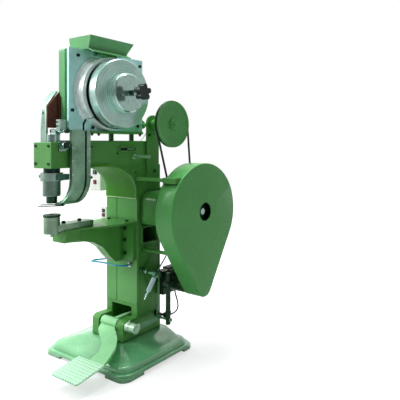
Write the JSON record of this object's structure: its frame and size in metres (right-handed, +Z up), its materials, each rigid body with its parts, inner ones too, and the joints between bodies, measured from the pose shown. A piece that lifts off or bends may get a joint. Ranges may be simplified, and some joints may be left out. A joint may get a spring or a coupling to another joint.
{
  "type": "eyelet setting machine",
  "caption": "Floor-standing eyelet setting machine with a cast base and column, pedal trip, guarded flywheel drive, vertical ram over an anvil, and a rotating drum hopper with a curved raceway.",
  "frame": {"origin": "centre of the base underside, on the floor", "axes": "+Z up, +X to the operator's right, +Y to the back; the operator stands at -Y"},
  "size_m": [0.64, 0.801, 1.388],
  "materials": {
    "green_casting": "glossy machine enamel over casting",
    "green_sheet": "glossy machine enamel on sheet",
    "steel": "brushed steel",
    "bright_steel": "ground and polished steel",
    "dark_steel": "blackened steel",
    "white_plastic": "moulded",
    "black_plastic": "moulded",
    "red_plastic": "moulded",
    "rust_web": "red-brown primer",
    "belt_rubber": "smooth",
    "cyan_hose": "translucent tube"
  },
  "bodies": {
    "frame": {"anvil_bracket": "green_casting", "anvil_disc": "dark_steel", "anvil_holder": "steel", "base_casting": "green_casting", "belt_guard": "green_sheet", "black_cable": "belt_rubber", "blue_hose": "cyan_hose", "clamp_ring": "steel", "column_casting": "green_casting", "crankcase": "green_casting", "crankshaft": "steel", "drive_belts": "belt_rubber", "drive_housing": "green_sheet", "front_covers": "green_sheet", "gusset": "rust_web", "head_box": "green_casting", "head_cover": "green_casting", "head_fittings": "steel", "hopper_bin": "green_sheet", "hopper_ledge": "green_sheet", "hopper_mounting_plate": "green_sheet", "hopper_plate": "steel", "hose_fittings": "steel", "junction_box": "green_sheet", "limit_switch": "dark_steel", "mast_strap": "green_sheet", "motor": "green_sheet", "motor_mount": "green_sheet", "raceway_fork": "steel", "raceway_track": "steel", "round_belt": "belt_rubber", "screws": "steel", "support_bar": "steel", "switch_box_lower": "white_plastic", "switch_box_upper": "white_plastic", "switch_bracket": "steel", "throat_casting": "green_casting", "tie_rods": "steel", "upper_arm": "green_casting"},
    "pedal": {"pedal_pad": "green_casting", "pedal_arm": "green_casting", "side_lever": "steel"},
    "pull_rod": {"pull_rod": "steel"},
    "trip_rod": {"trip_rod": "dark_steel"},
    "clutch": {"clutch_lever": "steel", "lever_sleeve": "white_plastic"},
    "ram": {"ram_spindle": "bright_steel", "punch_holder": "steel", "punch": "dark_steel"},
    "rocker": {"rocker_lever": "steel"},
    "lift": {"lift_rod": "steel"},
    "flywheel": {"flywheel": "green_casting"},
    "motor_rotor": {"motor_pulley": "dark_steel"},
    "upper_wheel": {"upper_pulley": "green_sheet"},
    "drum": {"drum_shell": "steel", "star_knob": "black_plastic"},
    "button_black": {"button_black": "black_plastic"},
    "button_red": {"button_red": "red_plastic"},
    "key_black": {"key_black": "black_plastic"},
    "key_red": {"key_red": "red_plastic"}
  },
  "joints": [
    {"name": "pedal_press", "type": "hinge", "parent": "frame", "child": "pedal", "pos_m": [0, -0.05, 0.145], "axis": [1, 0, 0], "range_deg": [0, 6.5], "stiffness_Nm_per_rad": 60, "springref_deg": -14.32},
    {"name": "pull_rod_lift", "type": "slide", "parent": "frame", "child": "pull_rod", "axis": [0, 0, 1], "range_m": [0, 0.0172]},
    {"name": "trip_rod_lift", "type": "slide", "parent": "frame", "child": "trip_rod", "axis": [0, 0, 1], "range_m": [0, 0.0172]},
    {"name": "clutch_turn", "type": "hinge", "parent": "frame", "child": "clutch", "pos_m": [0.15, 0.032, 0.372], "axis": [1, 0, 0], "range_deg": [0, 12.5]},
    {"name": "ram_down", "type": "slide", "parent": "frame", "child": "ram", "axis": [0, 0, -1], "range_m": [0, 0.032], "stiffness_N_per_m": 3000, "springref_m": -0.03},
    {"name": "rocker_tilt", "type": "hinge", "parent": "frame", "child": "rocker", "pos_m": [0, -0.03, 0.924], "axis": [1, 0, 0], "range_deg": [0, 5.8]},
    {"name": "lift_rise", "type": "slide", "parent": "frame", "child": "lift", "axis": [0, 0, 1], "range_m": [0, 0.0156]},
    {"name": "flywheel_spin", "type": "hinge", "parent": "frame", "child": "flywheel", "pos_m": [0.31, 0.177, 0.643], "axis": [1, 0, 0], "continuous": true},
    {"name": "motor_spin", "type": "hinge", "parent": "frame", "child": "motor_rotor", "pos_m": [0.31, 0.177, 0.312], "axis": [1, 0, 0], "continuous": true},
    {"name": "upper_wheel_spin", "type": "hinge", "parent": "frame", "child": "upper_wheel", "pos_m": [0.231, 0.099, 1.038], "axis": [1, 0, 0], "continuous": true},
    {"name": "drum_spin", "type": "hinge", "parent": "frame", "child": "drum", "pos_m": [0.15, -0.126, 1.1594], "axis": [1, 0, 0], "continuous": true},
    {"name": "button_black_push", "type": "slide", "parent": "frame", "child": "button_black", "axis": [0, 1, 0], "range_m": [0, 0.004], "stiffness_N_per_m": 800, "springref_m": -0.001},
    {"name": "button_red_push", "type": "slide", "parent": "frame", "child": "button_red", "axis": [0, 1, 0], "range_m": [0, 0.004], "stiffness_N_per_m": 800, "springref_m": -0.001},
    {"name": "key_black_push", "type": "slide", "parent": "frame", "child": "key_black", "axis": [0, 1, 0], "range_m": [0, 0.004], "stiffness_N_per_m": 800, "springref_m": -0.001},
    {"name": "key_red_push", "type": "slide", "parent": "frame", "child": "key_red", "axis": [0, 1, 0], "range_m": [0, 0.004], "stiffness_N_per_m": 800, "springref_m": -0.001}
  ],
  "couplings": [
    {"joint": "pull_rod_lift", "follows": "pedal_press", "m_per_rad": 0.1495},
    {"joint": "trip_rod_lift", "follows": "pedal_press", "m_per_rad": 0.1495},
    {"joint": "clutch_turn", "follows": "pedal_press", "ratio": 1.8687},
    {"joint": "rocker_tilt", "follows": "ram_down", "rad_per_m": 3.1348},
    {"joint": "lift_rise", "follows": "ram_down", "ratio": 0.4765},
    {"joint": "motor_spin", "follows": "flywheel_spin", "ratio": 6.7143},
    {"joint": "upper_wheel_spin", "follows": "flywheel_spin", "ratio": 0.619},
    {"joint": "drum_spin", "follows": "flywheel_spin", "ratio": 0.2549}
  ]
}
